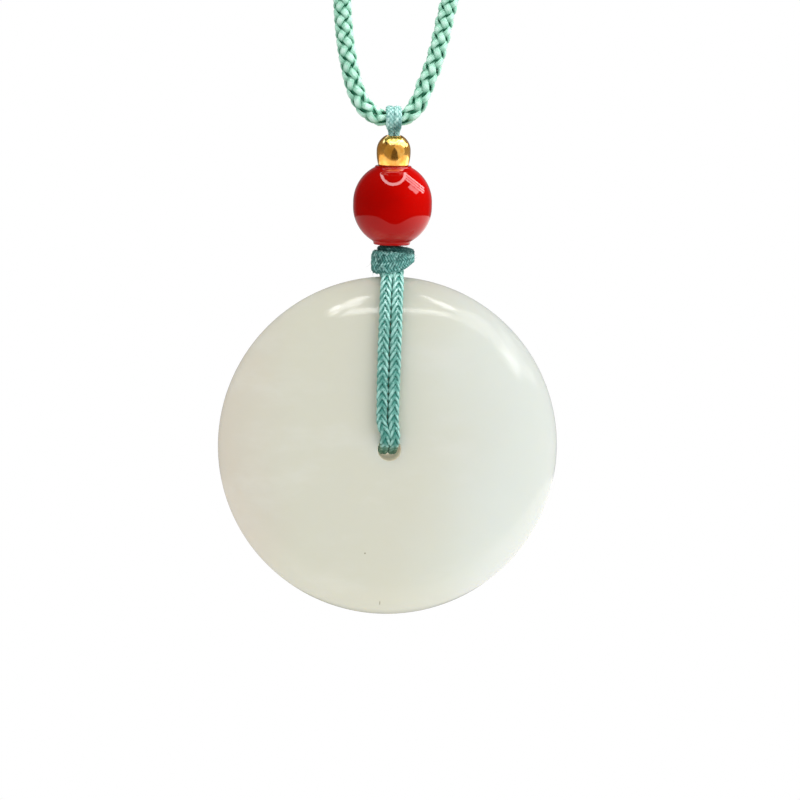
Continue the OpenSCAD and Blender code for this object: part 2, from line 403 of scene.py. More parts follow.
def jadeFinish(look, disc):
    material, tree, shader = freshMaterial("jade")
    place = addNode(tree, "ShaderNodeTexCoord").outputs["Object"]
    clouds = noise(tree, place, look["cloudScale"], 3.0, 0.55)
    veils = noise(tree, place, look["veilScale"], 4.0, 0.6, (1, 1, 2.2))
    axes = addNode(tree, "ShaderNodeSeparateXYZ")
    plug(tree, axes.inputs[0], place)
    # Painted light: the stone is warmer at the far left and paler and cooler towards the right, the side
    # that takes more light; the clouds make the change wander
    drift = calc(tree, "MULTIPLY", calc(tree, "SUBTRACT", clouds, 0.5), look["wander"])
    side = calc(tree, "ADD", calc(tree, "DIVIDE", axes.outputs[0], disc["radius"]), drift)
    leftX = look["leftX"]
    colour = tint(tree, rgb(look["left"]), look["middle"], side, leftX, leftX + look["leftRun"])
    colour = tint(tree, colour, look["right"], side, 0.0, look["rightX"])
    colour = tint(tree, colour, look["milk"], veils, 0.45, 0.8, look["veils"])
    pit = onFront(tree, place, disc, disc["pit"], (disc["pitR"], disc["pitR"]))
    nick = onFront(tree, place, disc, disc["nick"], disc["nickSize"])
    flaws = calc(tree, "MAXIMUM", pit, nick)
    # The drilled hole is left unpolished
    fromMiddle = vectorCalc(tree, "SUBTRACT", place, tuple(discAt))
    fromAxis = vectorCalc(tree, "LENGTH", vectorCalc(tree, "MULTIPLY", fromMiddle, (1, 0, 1)))
    bore = span(tree, fromAxis, disc["holeR"] + disc["lipR"] / 2, disc["holeR"])
    colour = blendColour(tree, bore, colour, rgb(look["bore"]))
    plug(tree, shader.inputs["Base Color"], blendColour(tree, flaws, colour, rgb(look["flaw"])))
    polished = span(tree, veils, 0.2, 0.8, look["gloss"], look["gloss"] + 0.04)
    plug(tree, shader.inputs["Roughness"], span(tree, bore, 0, 1, polished, look["boreGloss"]))
    plug(tree, shader.inputs["IOR"], look["ior"])
    # Painted glow: the wall of the hole gives off light of its own
    plug(tree, shader.inputs["Emission Color"], blendColour(tree, bore, (0, 0, 0, 1), rgb(look["boreGlow"])))
    plug(tree, shader.inputs["Emission Strength"], 1.0)
    plug(tree, shader.inputs["Subsurface Weight"], look["glow"])
    plug(tree, shader.inputs["Subsurface Radius"], look["glowSpread"])
    plug(tree, shader.inputs["Subsurface Scale"], look["glowDepth"])
    rippled = bump(tree, noise(tree, place, 60.0, 1.0), 0.03, 0.2 * mm)
    plug(tree, shader.inputs["Normal"], bump(tree, flaws, -0.5, 0.05 * mm, rippled))
    return material


def redFinish(look, bead):
    # Painted shade: deeper red towards the upper left, the side that takes less light
    material, tree, shader = freshMaterial("redGlaze")
    place = addNode(tree, "ShaderNodeTexCoord").outputs["Object"]
    mottle = noise(tree, place, 700.0, 3.0)
    across = vectorCalc(tree, "DOT_PRODUCT", place, look["deepWay"])
    middle = Vector(look["deepWay"]).dot(boxMiddle("red_bead"))
    share = calc(tree, "DIVIDE", calc(tree, "SUBTRACT", across, middle), bead["radius"])
    wander = calc(tree, "MULTIPLY", calc(tree, "SUBTRACT", mottle, 0.5), look["wander"])
    colour = tint(tree, rgb(look["colour"]), look["deep"], calc(tree, "ADD", share, wander), -0.1, 0.95)
    plug(tree, shader.inputs["Base Color"], colour)
    plug(tree, shader.inputs["Roughness"], span(tree, mottle, 0.2, 0.8, look["gloss"], look["gloss"] + 0.02))
    plug(tree, shader.inputs["IOR"], look["ior"])
    plug(tree, shader.inputs["Normal"], bump(tree, noise(tree, place, 350.0, 1.0), 0.02, 0.1 * mm))
    return material


def goldFinish(look):
    material, tree, shader = freshMaterial("polishedGold")
    place = addNode(tree, "ShaderNodeTexCoord").outputs["Object"]
    wear = noise(tree, place, 1500.0, 4.0, 0.6)
    plug(tree, shader.inputs["Base Color"], tint(tree, rgb(look["colour"]), look["deep"], wear, 0.35, 0.75))
    plug(tree, shader.inputs["Metallic"], look["metal"])
    plug(tree, shader.inputs["Roughness"], span(tree, wear, 0.3, 0.8, look["gloss"], look["gloss"] + 0.08))
    plug(tree, shader.inputs["Normal"], bump(tree, noise(tree, place, 500.0, 1.0), 0.1, 0.1 * mm))
    return material


def glowFinish(name, light=1.0):
    material, tree, shader = freshMaterial(name)
    tree.nodes.remove(shader)
    glow = addNode(tree, "ShaderNodeEmission")
    plug(tree, glow.inputs["Strength"], light)
    plug(tree, tree.nodes["Material Output"].inputs[0], glow.outputs[0])
    return material


# Neck cord: a round braid of eight strands over a core, one whole loop
neckLook = {
    "radius": 1.22 * mm,
    "pitch": 7.0 * mm,       # length in which a strand goes once round
    "strandsEachWay": 4,
    "columns": 4,            # of stitches, round the cord
    "middleR": 0.74 * mm,    # radius about which the strands weave
    "swing": 0.24 * mm,      # how far out and in they go from there
    "ease": 0.06,            # radians that a strand sways round the cord as it weaves
    "wide": 0.93 * mm,
    "thick": 0.5 * mm,
    "ringsPerTurn": 36,
    "sides": 9,
    "uneven": 0.02 * mm,     # how far a strand strays out or in
    "unevenRun": 1.6 * mm,   # and over what length
    "seed": 3,
    "coreR": 0.5 * mm,
    "coreStep": 0.8 * mm,
    "coreSides": 8,
    "pinch": 0.76,           # share of its width that it keeps under the thin cord
    "gripHalf": 1.2 * mm,    # half the length that is gripped
    "gripRun": 0.9 * mm,     # length beside it over which the cord widens again
    "stretch": 0.55,         # how much longer the stitches are beside the grip
    "stretchRun": 11 * mm,
    "turnLeft": -18.0,       # degrees that the braid is turned on the left run
    "turnRun": 8 * mm,       # length under the thin cord over which that turn fades
    "pointsPerSpan": 12,
    "phaseSteps": 6000,
}
# x and height above the loop of thin cord, in millimetres, from the nape round to the nape again
neckPoints = [
    (-0.1, 290), (-12, 288.8), (-28, 283), (-42, 272), (-52, 257), (-57, 238), (-55.5, 218), (-50, 196),
    (-43, 168), (-31, 120), (-19, 72), (-11.4, 40), (-8.2, 24), (-7.1, 16), (-6.9, 13), (-6.55, 10),
    (-6, 7), (-5.3, 4.2), (-4.6, 2.5), (-3.4, 0.95), (-1.8, 0.05), (0, 0), (1.3, 0.05), (2.3, 0.9),
    (3.2, 2.3), (3.8, 4), (4.9, 7), (5.7, 10), (6.3, 13), (7, 16), (9, 24), (13, 40), (20.8, 72),
    (32.2, 120), (43.6, 168), (50, 196), (55.5, 218), (57, 238), (52, 257), (42, 272), (28, 283),
    (12, 288.8), (0.1, 290)]
# colour is the strands' own mint; light is the paler colour of the painted highlights and glints, and the
# sheen's tint; shadow is the painted shade in the gaps between strands
neckColours = {
    "colour": (138, 208, 178), "shadow": (38, 128, 94), "light": (222, 255, 242),
    "deep": 0.6, "high": 0.97, "tips": 0.7, "streaks": 0.5, "patches": 0.15, "patchScale": 900.0,
    "flecks": 0.2, "fleckScale": 1600.0,
    "filaments": 26.0, "along": 0.5, "relief": 0.5, "gloss": 0.36, "shine": 0.5, "sheen": 0.04,
}


def makeNeckCord(look):
    points = np.array([(x * mm, 0, height * mm) for x, height in neckPoints])
    route = Route(smoothLine(points + bailAt, look["pointsPerSpan"]), frontWay)
    bailAlong = route.along[np.argmin(np.linalg.norm(route.line - bailAt, axis=1))]

    def grip(along):
        clear = (np.abs(along - bailAlong) - look["gripHalf"]) / look["gripRun"]
        return 1 - (1 - look["pinch"]) * (1 + np.cos(math.pi * np.clip(clear, 0, 1))) / 2

    table = np.linspace(0, route.length, look["phaseSteps"])
    near = np.exp(-((table - bailAlong) / look["stretchRun"]) ** 2)
    rate = 2 * math.pi / (look["pitch"] * (1 + look["stretch"] * near))
    angles = np.append(0, np.cumsum((rate[1:] + rate[:-1]) / 2 * np.diff(table)))

    def phase(along):
        return np.interp(along, table, angles)

    def turn(along):
        share = np.clip((along - bailAlong) / look["turnRun"] + 0.5, 0, 1)
        return look["turnLeft"] * (1 - share)

    finish = cordFinish("neckCordFibre", neckColours)
    for number, strand in enumerate(braid(route, look, phase, grip, turn), 1):
        piece = makeMesh(f"neckStrand{number}", *strandMesh([strand]))
        dress(piece, finish, "neck_loop", "neck_cord")
    # The core has no crown, so it is painted all over in the shadow colour, as painted shade in the gaps it
    # shows through
    core = plainTube(route, lambda along: look["coreR"] * grip(along), look["coreStep"], look["coreSides"])
    dress(makeMesh("neckCore", *strandMesh([core])), finish, "neck_loop", "neck_cord")
    print("neck cord:", round(route.length / mm, 1), "mm")
    return route, finish


neckLine, neckFinish = makeNeckCord(neckLook)


# Nape wrap: thread wound tightly over the joined ends of the neck cord
wrapLook = {
    "length": 16 * mm,
    "thread": 0.8 * mm,
    "gap": 0.05 * mm,
    "turnRings": 28,
    "sides": 8,
}


def makeNapeWrap(look):
    half, thick = look["length"] / 2, look["thread"]
    head = neckLine.line[neckLine.along < 2 * look["length"]]
    tail = neckLine.line[neckLine.along > neckLine.length - 2 * look["length"]]
    route = Route(np.vstack([tail, head]), frontWay)
    middle = route.along[len(tail) - 1]
    turns = int(look["length"] / thick)
    along = np.linspace(-half + thick / 2, half - thick / 2, turns * look["turnRings"])
    angle = 2 * math.pi * along / thick
    r = neckLook["radius"] + look["gap"] + thick / 2
    centres = np.stack([r * np.cos(angle), r * np.sin(angle), along + middle], axis=1)
    outward = np.stack([np.cos(angle), np.sin(angle), 0 * angle], axis=1)
    rings = tubeRings(centres, outward, thick / 2, thick / 2, look["sides"])
    crown = np.hypot(rings[..., 0], rings[..., 1]) / (r + thick / 2)
    piece = makeMesh("napeWrap", *strandMesh([(route.lay(rings), along / mm, crown)]))
    dress(piece, neckFinish, "neck_loop", "nape_wrap")
    print("nape wrap:", turns, "turns of thread")


makeNapeWrap(wrapLook)


# Thin cord: a fine round braid of twelve strands, each over three and under three
thinLook = {
    "radius": 0.675 * mm,
    "pitch": 6.0 * mm,
    "strandsEachWay": 6,
    "columns": 2,
    "middleR": 0.47 * mm,
    "swing": 0.1 * mm,
    "ease": 0.16,
    "wide": 0.42 * mm,
    "thick": 0.27 * mm,
    "uneven": 0.03 * mm,
    "unevenRun": 1.1 * mm,
    "seed": 5,
    "ringsPerTurn": 40,
    "sides": 8,
    "pointsPerSpan": 8,
}
# The thin cord, its top loop and its knot carry the same painted shade and painted highlights as the neck
# cord
legColours = {
    "colour": (70, 140, 127), "shadow": (36, 132, 118), "light": (186, 238, 229),
    "deep": 0.7, "high": 0.96, "tips": 0.6, "streaks": 0.4, "patches": 0.5, "patchScale": 800.0,
    "flecks": 0.45, "fleckScale": 2200.0,
    "filaments": 9.0, "along": 0.8, "relief": 0.4, "gloss": 0.34, "shine": 0.5, "sheen": 0.05,
}
bailColours = {**legColours, "colour": (118, 178, 170), "shadow": (44, 110, 110), "light": (216, 255, 248),
               "deep": 0.5, "patches": 0.8, "patchScale": 700.0, "flecks": 0.7, "fleckScale": 1200.0,
               "gloss": 0.45, "shine": 0.4}
knotColours = {**legColours, "colour": (28, 124, 115), "shadow": (0, 62, 58), "light": (182, 236, 230),
               "patches": 0.8, "flecks": 0.65, "tips": 0.25, "sheen": 0.1, "shine": 0.3, "gloss": 0.5}
legFinish = cordFinish("legFibre", legColours)
bailFinish = cordFinish("bailFibre", bailColours)
knotFinish = cordFinish("knotFibre", knotColours)


# Disc: its half thickness at a share s of its radius is halfThick (1 - s^facePower)^(1/rimPower)
discLook = {
    "radius": 22 * mm,
    "halfThick": 5 * mm,
    "facePower": 3.4,
    "rimPower": 2.0,
    "holeR": 1.5 * mm,
    "lipR": 0.2 * mm,
    "lipEnd": 8,             # degrees from the face at which the lip's round meets it
    "lipSteps": 6,
    "boreSteps": 6,
    "faceRings": 72,
    "segments": 256,
    "pit": (-2.85 * mm, -13.6 * mm),     # a tiny pit, left of and below the middle
    "pitR": 0.13 * mm,
    "nick": (-0.7 * mm, -20.3 * mm),     # and a short mark near the lower rim
    "nickSize": (0.07 * mm, 0.4 * mm),
    "flawDeep": 1 * mm,
}
jadeLook = {
    # left, middle and right: the stone's colour across it, with painted light making the right side paler
    "left": (230, 224, 212), "middle": (231, 231, 217), "right": (237, 242, 236), "milk": (243, 244, 239),
    "leftX": -1.1, "leftRun": 0.6, "rightX": 0.75, "wander": 0.5,
    "cloudScale": 45.0, "veilScale": 120.0, "veils": 0.3,
    "gloss": 0.08, "ior": 1.6, "glow": 0.8, "glowSpread": (1.0, 0.95, 0.85), "glowDepth": 4.0 * mm,
    "flaw": (168, 162, 136), "bore": (226, 216, 200), "boreGloss": 0.5,
    "boreGlow": (124, 117, 102),     # painted glow, standing in for light that comes into the hole through the stone
}


def faceOut(look, share):
    # How far the face stands from the disc's middle plane, at a share of its radius
    return look["halfThick"] * np.maximum(1 - share ** look["facePower"], 0) ** (1 / look["rimPower"])


def makeDisc(look):
    # The profile runs from the lip of the hole out over the front face to the rim
    holeR = look["holeR"]
    turnEnd = math.acos(((holeR + look["lipR"]) / look["radius"]) ** (look["facePower"] / 2))
    turn = np.linspace(turnEnd, 0, look["faceRings"])
    r = look["radius"] * np.cos(turn) ** (2 / look["facePower"])
    y = look["halfThick"] * np.sin(turn) ** (2 / look["rimPower"])
    lipTurn = np.radians(np.linspace(90, look["lipEnd"], look["lipSteps"]))
    lipX = holeR + look["lipR"] * (1 - np.sin(lipTurn))
    lipY = y[0] - look["lipR"] + look["lipR"] * np.cos(lipTurn)
    front = np.vstack([np.column_stack([lipX, lipY]), np.column_stack([r, y])])
    boreY = np.linspace(0, 1, look["boreSteps"] + 2)[1:-1] * lipY[0]
    bore = np.column_stack([np.full(look["boreSteps"], holeR), boreY])
    back = front[:-1][::-1] * (1, -1)
    profile = np.vstack([bore, front, back, bore[::-1] * (1, -1), [[holeR, 0]]])
    x, z, out = turned(profile, look["segments"])
    faces = turnedFaces(look["segments"], len(profile))
    piece = makeMesh("jadeDisc", np.stack([x, -out, z], axis=-1).reshape(-1, 3) + discAt, faces)
    dress(piece, jadeFinish(jadeLook, look), "disc", "disc")
    print("disc:", len(faces), "faces")


makeDisc(discLook)


# Beads: rings turned from a profile of (radius, height). Steps are the points of each arc or wall
redLook = {
    "radius": 5.1 * mm, "bandLow": -0.2 * mm, "bandHigh": 0.4 * mm, "collarR": 2.35 * mm, "boreR": 0.95 * mm,
    "flareLow": 0.55 * mm, "flareHigh": 0.2 * mm, "edge": 0.1 * mm, "segments": 160,
    "steps": {"ball": 40, "flare": 8, "edge": 5, "bore": 12},
}
redColours = {
    # deep is the red of the painted shade on the bead's upper left
    "colour": (182, 5, 1), "deep": (152, 3, 0), "deepWay": (-0.72, -0.3, 0.62), "wander": 0.4,
    "gloss": 0.03, "ior": 1.5,
}
goldLook = {
    "radius": 2.2 * mm, "boreR": 0.95 * mm, "edge": 0.1 * mm, "segments": 128,
    "barrelR": 5.8 * mm,      # the side below the middle curves in with this radius
    "barrelFrom": 0.2 * mm,
    "footR": 0.15 * mm,
    "rimFrom": 80,            # degrees at which the rim of the bore leaves the dome
    "steps": {"dome": 40, "rim": 6, "bore": 8, "foot": 5, "corner": 8, "barrel": 24},
}
goldColours = {"colour": (255, 196, 98), "deep": (242, 168, 60), "metal": 0.97, "gloss": 0.13}


def arc(centre, radius, start, end, steps):
    turn = np.radians(np.linspace(start, end, steps))
    return [(centre[0] + radius * math.cos(a), centre[1] + radius * math.sin(a)) for a in turn]


def turnBead(name, profile, middleZ, segments):
    profile = np.array(profile[::-1])     # this way round the faces look outward
    x, y, height = turned(profile, segments)
    points = np.stack([x, y, height + middleZ], axis=-1).reshape(-1, 3)
    return makeMesh(name, points, turnedFaces(segments, len(profile)))


def makeRedBead(look):
    low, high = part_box("red_bead")
    half = (high.z - low.z) / 2
    edge, steps = look["edge"], look["steps"]

    def halfProfile(band, flare):
        # A ball that flares into its short collar
        meet = math.degrees(math.acos((look["collarR"] + flare) / (look["radius"] + flare)))
        centre = (look["collarR"] + flare, band + math.sin(math.radians(meet)) * (look["radius"] + flare))
        return (arc((0, band), look["radius"], 0, meet, steps["ball"])
                + arc(centre, flare, 180 + meet, 180, steps["flare"])[1:]
                + arc((look["collarR"] - edge, half - edge), edge, 0, 90, steps["edge"])
                + arc((look["boreR"] + edge, half - edge), edge, 90, 180, steps["edge"]))

    upper = halfProfile(look["bandHigh"], look["flareHigh"])
    lower = [(r, -z) for r, z in reversed(halfProfile(-look["bandLow"], look["flareLow"]))]
    walls = [(look["boreR"], z) for z in np.linspace(half, -half, steps["bore"])[1:-1]]
    piece = turnBead("redBead", upper + walls + lower, (low.z + high.z) / 2, look["segments"])
    dress(piece, redFinish(redColours, look), "pendant", "red_bead")
    print("red bead turned")


def makeGoldBead(look):
    low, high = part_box("gold_bead")
    radius, boreR, edge, footR = look["radius"], look["boreR"], look["edge"], look["footR"]
    barrelR, steps = look["barrelR"], look["steps"]
    shoulder = math.sqrt(radius ** 2 - boreR ** 2)
    middle = high.z - shoulder
    foot = middle - low.z
    domeEnd = math.degrees(math.acos((boreR + edge) / radius))
    dome = arc((0, 0), radius, 0, domeEnd, steps["dome"])
    rim = arc((boreR + edge, dome[-1][1] - edge), edge, look["rimFrom"], 180, steps["rim"])
    walls = [(boreR, z) for z in np.linspace(shoulder, -foot, steps["bore"])[1:-1]]
    base = arc((boreR + edge, edge - foot), edge, 180, 270, steps["foot"])
    lean = math.degrees(math.asin((foot - look["barrelFrom"] - footR) / barrelR))
    barrel = arc((radius - barrelR, -look["barrelFrom"]), barrelR, -lean, 0, steps["barrel"])
    corner = arc((barrel[0][0] - footR, footR - foot), footR, -90, 0, steps["corner"])[:-1]
    piece = turnBead("goldBead", dome + rim + walls + base + corner + barrel, middle, look["segments"])
    dress(piece, goldFinish(goldColours), "pendant", "gold_bead")
    print("gold bead turned")


makeRedBead(redLook)
makeGoldBead(goldLook)


# The two turns of thin cord round the disc
legLook = {
    "faceGap": 0.1 * mm,
    "turnGap": 0.05 * mm,
    "bendR": 1.35 * mm,
    "bendSteps": (0, 30, 60, 90),            # degrees round the bend into the hole
    "knotEnd": (0.736 * mm, -306.836 * mm),  # where it ends in the knot: away from the middle, and height
    "turn": {"left": 34.0, "right": 18.0},
    "flat": 1.19,                            # how much wider than deep the cord lies
    "squeeze": 0.2,                          # how much thinner the cord is pressed in the hole
    "squeezeRun": 7 * mm,
    "entry": (0.57 * mm, 0.7 * mm),          # where it goes into the hole: away from the middle, and up
    "sag": -0.62 * mm,                       # height that it sags to inside the hole
}
# Height on the disc as a share of its radius, and where the left and right turns stand, as shares
# of their place in the hole
legRows = [
    (0.985, -0.72, 1.12), (0.965, -0.9, 1.09), (0.93, -1.06, 1.02), (0.88, -1.18, 0.94), (0.81, -1.28, 0.86),
    (0.7, -1.4, 0.76), (0.55, -1.52, 0.64), (0.4, -1.56, 0.58), (0.25, -1.56, 0.52), (0.15, -1.44, 0.54)]


def legRoute(look, column):
    radius, halfThick = discLook["radius"], discLook["halfThick"]
    face, rim = discLook["facePower"], discLook["rimPower"]
    cordR = thinLook["radius"]
    standX = cordR + look["turnGap"] / 2
    entryX = math.copysign(look["entry"][0], legRows[0][column])
    rise, bendR = look["entry"][1], look["bendR"]
    legY = halfThick + look["faceGap"] + cordR
    front = [(standX * legRows[0][column], -look["knotEnd"][0], look["knotEnd"][1] - discAt[2])]
    for row in legRows:
        share = row[0]
        half = faceOut(discLook, share)
        # The way out of the stone there: up the face, and to the front
        out = np.array((face / radius * share ** (face - 1),
                        rim / halfThick * (half / halfThick) ** (rim - 1)))
        out *= (look["faceGap"] + cordR) / np.linalg.norm(out)
        front.append((standX * row[column], -half - out[1], share * radius + out[0]))
    for bend in np.radians(look["bendSteps"]):
        front.append((entryX, bendR * (1 - math.cos(bend)) - legY, rise + bendR * (1 - math.sin(bend))))
    front.append((entryX, -halfThick / 2, (rise + look["sag"]) / 2))
    back = [(x, -y, z) for x, y, z in reversed(front)]
    front.append((entryX, 0, look["sag"]))
    return Route(smoothLine(np.array(front + back) + discAt, thinLook["pointsPerSpan"]), xWay)


def makeLegs(look):
    for column, side in ((1, "left"), (2, "right")):
        route = legRoute(look, column)

        def scale(along, middle=route.length / 2):
            return 1 - look["squeeze"] * np.exp(-((along - middle) / look["squeezeRun"]) ** 2)

        strands = braid(route, thinLook, scale=scale, turn=look["turn"][side], wideA=look["flat"])
        piece = makeMesh(f"{side}Leg", *strandMesh(strands))
        dress(piece, legFinish, "pendant", f"loop_{side}")
        print(side, "turn of thin cord:", round(route.length / mm, 1), "mm")


makeLegs(legLook)


# The thin cord laid double over the neck cord
bailLook = {
    **thinLook,
    "pitch": 3.0 * mm,
    "strandsEachWay": 5,
    "columns": 5,
    "wide": 0.4 * mm,
    "swing": 0.05 * mm,
    "archR": 1.314 * mm,
    "archSteps": range(-15, 196, 15),     # degrees from the front of the arch over its top to the back
    "braidTurn": 10.0,                    # degrees that the two turns' braids are turned, opposite ways
    "flatWide": 1.14 * mm,
    "flatThick": 0.7 * mm,
    "flatRun": 1.3 * mm,     # where it is flat, above the bead
    "spread": 0.49 * mm,     # the middle of a turn to either side
    "shiftX": -0.1 * mm,
    "endR": 0.373 * mm,
    "endDepth": 0.9 * mm,
}


def makeBail(look):
    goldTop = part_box("gold_bead")[1].z - bailAt[2]
    archR, endR = look["archR"], look["endR"]
    endRun = look["endDepth"] + look["flatRun"]
    strands = []
    for side in (-1, 1):
        ends = [(side * endR, -endR, goldTop + z) for z in (-look["endDepth"], look["flatThick"] / 2)]
        x = side * look["spread"] + look["shiftX"]
        arch = [(x, -archR * math.cos(a), archR * math.sin(a)) for a in np.radians(look["archSteps"])]
        points = ends + arch + [(px, -py, pz) for px, py, pz in reversed(ends)]
        route = Route(smoothLine(np.array(points) + bailAt, look["pointsPerSpan"]), xWay)

        def flatten(full, length=route.length):
            # From round at the ends to a flat band
            def size(along):
                share = np.clip(np.minimum(along, length - along) / endRun * 2 - 1, 0, 1)
                share = share * share * (3 - 2 * share)
                return (endR + (full / 2 - endR) * share) / look["radius"]
            return size

        strands += braid(route, look, turn=look["braidTurn"] * side,
                         wideA=flatten(look["flatWide"]), wideB=flatten(look["flatThick"]))
    piece = makeMesh("topLoop", *strandMesh(strands))
    dress(piece, bailFinish, "pendant", "top_loop")
    print("top loop laid")


makeBail(bailLook)


# Knot: two passes of the same cord, worked flat and wound tightly under the red bead
knotLook = {
    **thinLook,
    "pitch": 4.0 * mm,
    "strandsEachWay": 12,
    "columns": 6,
    "wide": 0.19 * mm,
    "thick": 0.18 * mm,
    "swing": 0.05 * mm,
    "middleR": 0.53 * mm,
    "ease": 0.04,
    "ringsPerTurn": 48,
    "sides": 6,
    "uneven": 0.04 * mm,
    "pointsPerSpan": 10,
    "thickness": 1.05 * mm,
    "power": 3.0,
    "shade": 0.82,           # painted shade: how much deeper the colour of the upper pass is, in the shade under the red bead
}
# x, y and height above the middle of the knot, and half the height of the pass there, in millimetres
knotBand = [
    (-0.7, 1.0, -0.3, 1.2), (-1.7, 1.0, -0.28, 1.35), (-2.3, 0.1, -0.25, 1.5), (-1.95, -1.15, -0.28, 1.55),
    (-0.8, -1.78, -0.3, 1.55), (0.4, -1.82, -0.22, 1.4), (1.35, -1.5, -0.02, 1.1), (2.05, -0.75, 0.17, 0.78),
    (2.32, 0.25, 0.24, 0.66), (1.9, 1.2, 0.18, 0.8), (0.8, 1.72, -0.02, 1.2), (-0.5, 1.78, -0.2, 1.35),
    (-1.2, 1.6, -0.3, 1.1), (-1.3, 0.9, -0.3, 0.8)]
knotShoulder = [
    (-0.2, 0.4, 1.1, 0.5), (-1.2, 0.3, 1.2, 0.55), (-1.6, -0.3, 1.3, 0.55), (-1.1, -1.0, 1.34, 0.55),
    (-0.1, -1.3, 1.32, 0.55), (1.0, -1.2, 1.22, 0.58), (1.9, -0.5, 0.98, 0.62), (2.3, 0.35, 0.75, 0.66),
    (1.7, 1.35, 0.85, 0.7), (0.4, 1.7, 1.05, 0.65), (-0.9, 1.4, 1.15, 0.6), (-1.3, 0.6, 1.1, 0.5)]
fibreLook = {
    "count": 260,
    "seed": 6,
    "radius": 0.016 * mm,
    "taper": 0.7,
    "length": (0.25 * mm, 0.7 * mm),
    "standOut": (0.3, 1.0),
    "spread": 0.35,
    "bend": 0.5,
    "rings": 5,
    "sides": 3,
}


def fuzz(strands, look):
    # Fine loose fibres that stand out from the cord
    draw = np.random.default_rng(look["seed"])
    fibres = []
    while len(fibres) < look["count"]:
        strand = strands[draw.integers(len(strands))]
        rings, crown = strand[0], strand[2]
        at = draw.integers(2, len(rings) - 2)
        side = draw.integers(rings.shape[1])
        start = rings[at, side]
        middle = rings[at].mean(axis=0)
        way = unit(rings[at + 1].mean(axis=0) - middle)
        out = unit(start - middle) * draw.uniform(*look["standOut"]) + way * draw.choice((-1, 1))
        out = out + draw.normal(0, look["spread"], 3)
        bend = draw.normal(0, look["bend"], 3)
        reach = draw.uniform(*look["length"])
        t = np.linspace(0, 1, look["rings"])[:, None]
        line = start + reach * (t * out + t * t * bend)
        outward = np.cross(headings(line), out + bend + 0.1)     # any way that isn't along the fibre
        thin = look["radius"] * (1 - look["taper"] * t[:, 0])
        fibre = tubeRings(line, outward, thin, thin, look["sides"])
        fibres.append((fibre, t[:, 0], np.full(fibre.shape[:2], crown[at, side])))
    return fibres


def makeKnot(look):
    middle = np.array(boxMiddle("knot"))
    perSpan = look["pointsPerSpan"]
    strands = []
    # The upper pass has its crown lowered, so it takes more of the shadow colour: painted shade under the
    # red bead
    for rows, shade in ((knotBand, 1.0), (knotShoulder, look["shade"])):
        rows = np.array(rows) * mm
        line = smoothLine(rows[:, :3] + middle, perSpan)
        route = Route(line, (line - middle) * (1, 1, 0))
        halfHigh = np.interp(np.arange(len(line)) / perSpan, np.arange(len(rows)), rows[:, 3])
        passes = braid(route, look, wideA=look["thickness"] / 2 / look["radius"], power=look["power"],
                       wideB=lambda along: np.interp(along, route.along, halfHigh) / look["radius"])
        strands += [(rings, along, crown * shade) for rings, along, crown in passes]
    strands += fuzz(strands, fibreLook)
    piece = makeMesh("knotCord", *strandMesh(strands))
    dress(piece, knotFinish, "pendant", "knot")
    print("knot tied")


makeKnot(knotLook)


# Stage and light
stageLook = {"floorZ": -0.45, "floorR": 6.0, "floorSides": 64}


def makeFloor(look):
    sides = look["floorSides"]
    ring = [(look["floorR"] * math.cos(a), look["floorR"] * math.sin(a), look["floorZ"])
            for a in np.linspace(0, 2 * math.pi, sides + 1)[:-1]]
    floor = makeMesh("floor", ring, [tuple(range(sides))])
    floor.data.materials.append(glowFinish("floorWhite"))
    for kind in ("visible_diffuse", "visible_glossy", "visible_shadow", "visible_transmission"):
        setattr(floor, kind, False)


# What the polished surfaces mirror. A place on a bead is that on a mirror ball seen by the camera: x to the
# right and y up, from -1 to 1. A pair of places is where one part starts to pass into the next and ends
mirrorLook = {
    "front": (0.012, 0.011, 0.01), "walls": (0.04, 0.038, 0.035), "table": (0.5, 0.46, 0.44),
    "tableRight": (1.3, 1.2, 1.15), "back": (0.22, 0.22, 0.22),
    "wallsReach": (0.25, 0.85), "backReach": (0.9, 0.99), "tableX": (0.1, 0.9),
    "footY": (-0.8, -0.88),  # below this the knot and the disc are mirrored
    "tableY": -0.22, "tableSoft": 0.015,
    "dipX": 0.06, "dipWide": 0.36, "dip": 0.24,     # the table's edge dips in the middle
}
# The soft light from all round, a little brighter on the right
fillLook = {"dim": (0.77, 0.755, 0.735), "bright": (1.0, 1.01, 1.01), "way": (0.9, 0.0, 0.3)}
mirrorReach = 1.3     # how far from the beads and the disc the lamps stand that they mirror
goldReach = 0.4       # and from the gold bead, its own panels


def mirrorPicture(tree, look):
    right, up, back = cameraAxes(view)
    way = addNode(tree, "ShaderNodeTexCoord").outputs["Generated"]
    half = vectorCalc(tree, "NORMALIZE", vectorCalc(tree, "ADD", way, tuple(back)))
    x, y = (vectorCalc(tree, "DOT_PRODUCT", half, tuple(axis)) for axis in (right, up))
    reach = calc(tree, "SQRT", calc(tree, "ADD", calc(tree, "MULTIPLY", x, x), calc(tree, "MULTIPLY", y, y)))
    walls = span(tree, reach, *look["wallsReach"])
    picture = blendColour(tree, walls, look["front"] + (1,), look["walls"] + (1,))
    off = calc(tree, "DIVIDE", calc(tree, "SUBTRACT", x, look["dipX"]), look["dipWide"])
    dip = calc(tree, "EXPONENT", calc(tree, "MULTIPLY", calc(tree, "MULTIPLY", off, off), -1.0))
    edge = calc(tree, "ADD", calc(tree, "MULTIPLY", dip, -look["dip"]), look["tableY"])
    below = span(tree, calc(tree, "SUBTRACT", edge, y), -look["tableSoft"], look["tableSoft"])
    toRight = span(tree, x, *look["tableX"])
    table = blendColour(tree, toRight, look["table"] + (1,), look["tableRight"] + (1,))
    table = blendColour(tree, span(tree, y, *look["footY"]), table, look["front"] + (1,))
    rim = blendColour(tree, span(tree, reach, *look["backReach"]), picture, look["back"] + (1,))
    return blendColour(tree, below, rim, table), way


